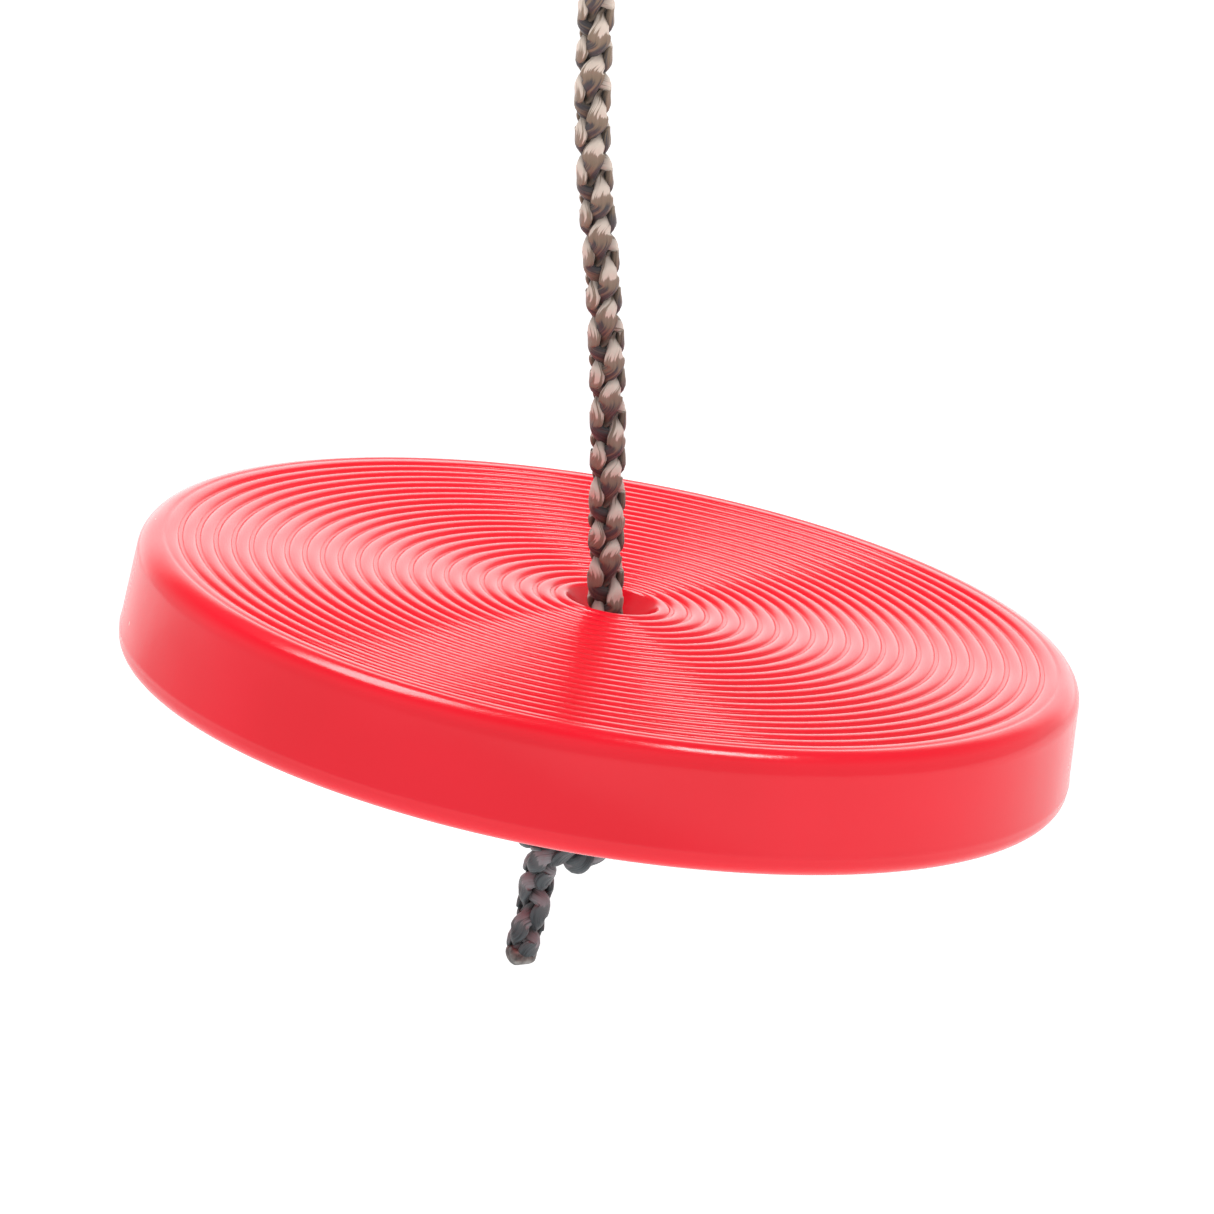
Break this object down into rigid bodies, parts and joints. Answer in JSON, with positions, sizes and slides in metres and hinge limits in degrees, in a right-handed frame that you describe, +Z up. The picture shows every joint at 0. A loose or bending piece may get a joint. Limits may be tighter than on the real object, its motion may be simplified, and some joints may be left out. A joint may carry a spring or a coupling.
{
  "type": "disc swing",
  "caption": "Round plastic swing seat with a grooved top on one braided rope, with stopper knot, thimble eye, snap hook and ceiling hanger.",
  "frame": {"origin": "middle of the ceiling plate's upper face, between its two screw holes", "axes": "+Z up out of the ceiling plate's upper face, +X along the plate through both screw holes, and +Y away from the viewer"},
  "size_m": [0.2815, 0.2826, 0.5139],
  "materials": {
    "red_polyethylene": "blow-moulded, satin to glossy",
    "braided_rope": "braided polypropylene, brown and grey",
    "galvanised_steel": "bright zinc",
    "pressed_aluminium": "as pressed",
    "nylon": "natural nylon",
    "spring_steel": "bright"
  },
  "bodies": {
    "hanger": {"ceiling_plate": "galvanised_steel", "hanger_yoke": "galvanised_steel", "pivot_bolt": "galvanised_steel", "pivot_nut": "galvanised_steel", "pivot_washers": "galvanised_steel"},
    "swing_arm": {"swing_eye": "galvanised_steel", "pivot_bushes": "nylon"},
    "hook": {"hook_body": "galvanised_steel"},
    "gate": {"hook_gate": "galvanised_steel", "gate_hinge_pin": "spring_steel", "gate_nose_pin": "spring_steel", "gate_plunger": "spring_steel", "gate_spring": "spring_steel"},
    "rope": {"eye_thimble": "galvanised_steel", "eye_rope": "braided_rope", "eye_ferrule": "pressed_aluminium", "main_rope": "braided_rope"},
    "knot": {"rope_core": "braided_rope", "stopper_knot": "braided_rope", "rope_tail": "braided_rope"},
    "seat": {"seat_disc": "red_polyethylene"}
  },
  "joints": [
    {"name": "swing_fore_aft", "type": "hinge", "parent": "hanger", "child": "swing_arm", "pos_m": [0, 0, -0.027], "axis": [1, 0, 0], "range_deg": [-60, 60]},
    {"name": "hook_sway", "type": "hinge", "parent": "swing_arm", "child": "hook", "pos_m": [0, 0, -0.0657], "axis": [0, 1, 0], "range_deg": [-35, 35]},
    {"name": "gate_open", "type": "hinge", "parent": "hook", "child": "gate", "pos_m": [0.012, 0, -0.1107], "axis": [0, -1, 0], "range_deg": [0, 24], "stiffness_Nm_per_rad": 0.02, "springref_deg": -28.65},
    {"name": "eye_rock", "type": "hinge", "parent": "hook", "child": "rope", "pos_m": [0, 0, -0.1297], "axis": [1, 0, 0], "range_deg": [-40, 40]},
    {"name": "seat_tilt", "type": "hinge", "parent": "rope", "child": "knot", "pos_m": [0, 0, -0.4124], "axis": [0, 1, 0], "range_deg": [-30.45, 9.55]},
    {"name": "seat_spin", "type": "hinge", "parent": "knot", "child": "seat", "pos_m": [0, 0, -0.4124], "axis": [0.1814, 0, 0.9834], "continuous": true}
  ]
}
